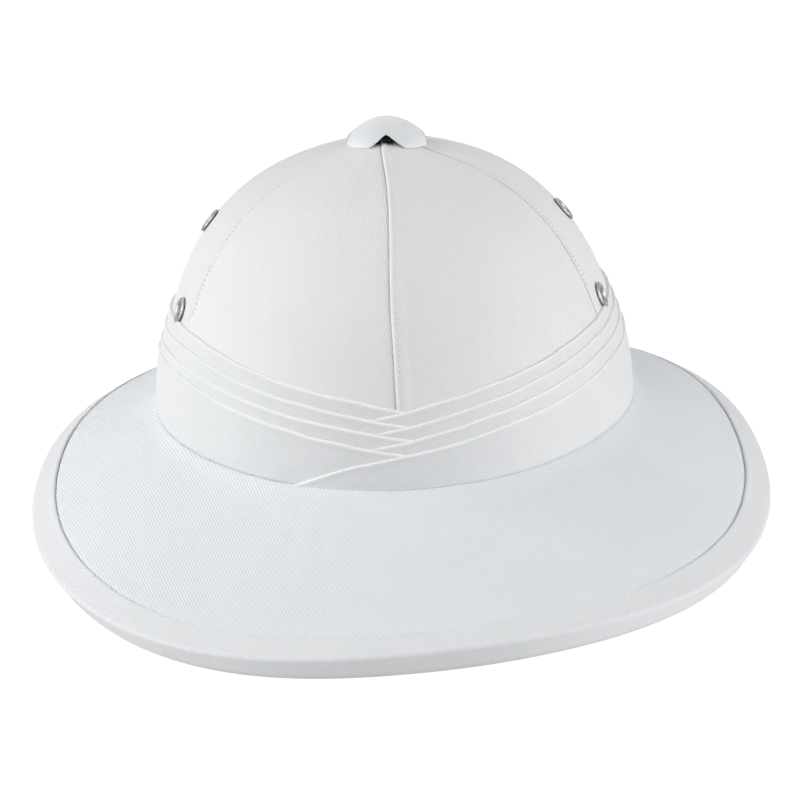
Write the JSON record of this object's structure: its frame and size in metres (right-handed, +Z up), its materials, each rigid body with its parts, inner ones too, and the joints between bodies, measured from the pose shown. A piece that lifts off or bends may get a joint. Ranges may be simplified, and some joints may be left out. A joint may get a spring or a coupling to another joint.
{
  "type": "pith helmet",
  "caption": "White pith sun helmet: domed crown, broad bound brim, pleated cloth band crossed in front, metal eyelets and an arched ventilator cap on top.",
  "frame": {"origin": "floor under the middle of the brim's outline, with the helmet standing on its brim", "axes": "+Z up, +Y from the front of the helmet to the back, +X to the wearer's left"},
  "size_m": [0.2896, 0.3774, 0.1521],
  "materials": {
    "cover_cloth": "white cotton twill, matt",
    "band_cloth": "white cotton twill, folded and pressed",
    "binding_tape": "white bias tape, matt",
    "pith": "bare moulded pith",
    "nickel": "nickel plate, slightly dull",
    "cap_paint": "white enamel on pressed metal",
    "vent_black": "dull black"
  },
  "bodies": {
    "root": {"crown_shell": "pith", "gore_front_left": "cover_cloth", "gore_front_right": "cover_cloth", "gore_side_left": "cover_cloth", "gore_side_right": "cover_cloth", "gore_back_left": "cover_cloth", "gore_back_right": "cover_cloth", "brim": "cover_cloth", "brim_binding": "binding_tape", "puggaree_left": "band_cloth", "puggaree_right": "band_cloth", "eyelet_left_lower": "nickel", "eyelet_left_upper": "nickel", "eyelet_right_lower": "nickel", "eyelet_right_upper": "nickel", "vent_collar": "vent_black", "vent_cap": "cap_paint"}
  },
  "joints": []
}
